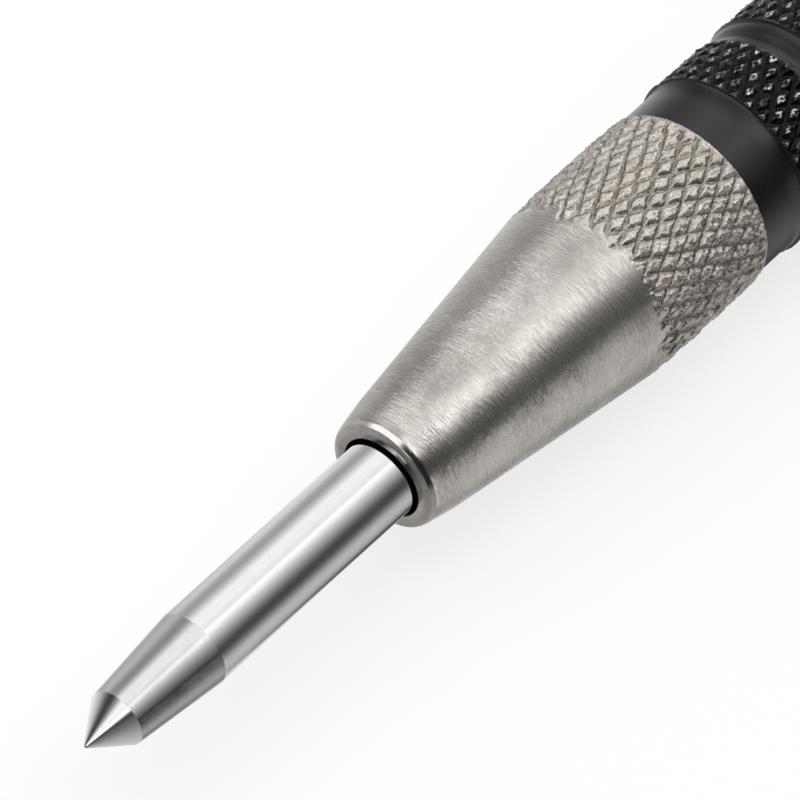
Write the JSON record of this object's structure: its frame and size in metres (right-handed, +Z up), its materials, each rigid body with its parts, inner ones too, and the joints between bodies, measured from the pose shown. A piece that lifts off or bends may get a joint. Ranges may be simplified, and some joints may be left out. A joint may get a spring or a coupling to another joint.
{
  "type": "center punch",
  "caption": "Automatic spring-loaded center punch: steel point in a tapered knurled nose on a black ringed grip, with an adjusting cap over a hammer and springs.",
  "frame": {"origin": "centre of the bounding box in X and Y, on the bench the tool lies on (Z = 0)", "axes": "+X along the tool's axis towards the tip of the punch, +Y to the side, +Z up; the tool lies on its side"},
  "size_m": [0.13, 0.0142, 0.0141],
  "materials": {
    "polished_steel": "ground and polished hardened steel",
    "nickel_plate": "warm satin nickel, turned and knurled",
    "black_finish": "semi-matt black over knurled steel",
    "tool_steel": "hardened, ground steel",
    "spring_wire": "oiled spring wire"
  },
  "bodies": {
    "barrel": {"barrel": "black_finish", "nose_cone": "nickel_plate", "return_spring": "spring_wire"},
    "punch": {"punch_pin": "polished_steel", "trip_pin": "tool_steel"},
    "hammer": {"hammer": "tool_steel"},
    "seat": {"spring_seat": "tool_steel", "main_spring": "spring_wire"},
    "cap": {"adjusting_cap": "black_finish"}
  },
  "joints": [
    {"name": "punch_press", "type": "slide", "parent": "barrel", "child": "punch", "axis": [-1, 0, 0], "range_m": [0, 0.01], "stiffness_N_per_m": 300, "springref_m": -0.003, "deforming": ["return_spring"]},
    {"name": "hammer_cock", "type": "slide", "parent": "barrel", "child": "hammer", "axis": [-1, 0, 0], "range_m": [0, 0.0095], "stiffness_N_per_m": 5000, "springref_m": -0.002, "deforming": ["main_spring"]},
    {"name": "seat_advance", "type": "slide", "parent": "barrel", "child": "seat", "axis": [1, 0, 0], "range_m": [-0.003, 0.002]},
    {"name": "cap_turn", "type": "hinge", "parent": "seat", "child": "cap", "pos_m": [-0.052, 0, 0.00705], "axis": [1, 0, 0], "range_deg": [-1080, 720]}
  ],
  "couplings": [
    {"joint": "cap_turn", "follows": "seat_advance", "rad_per_m": 6283.2}
  ]
}
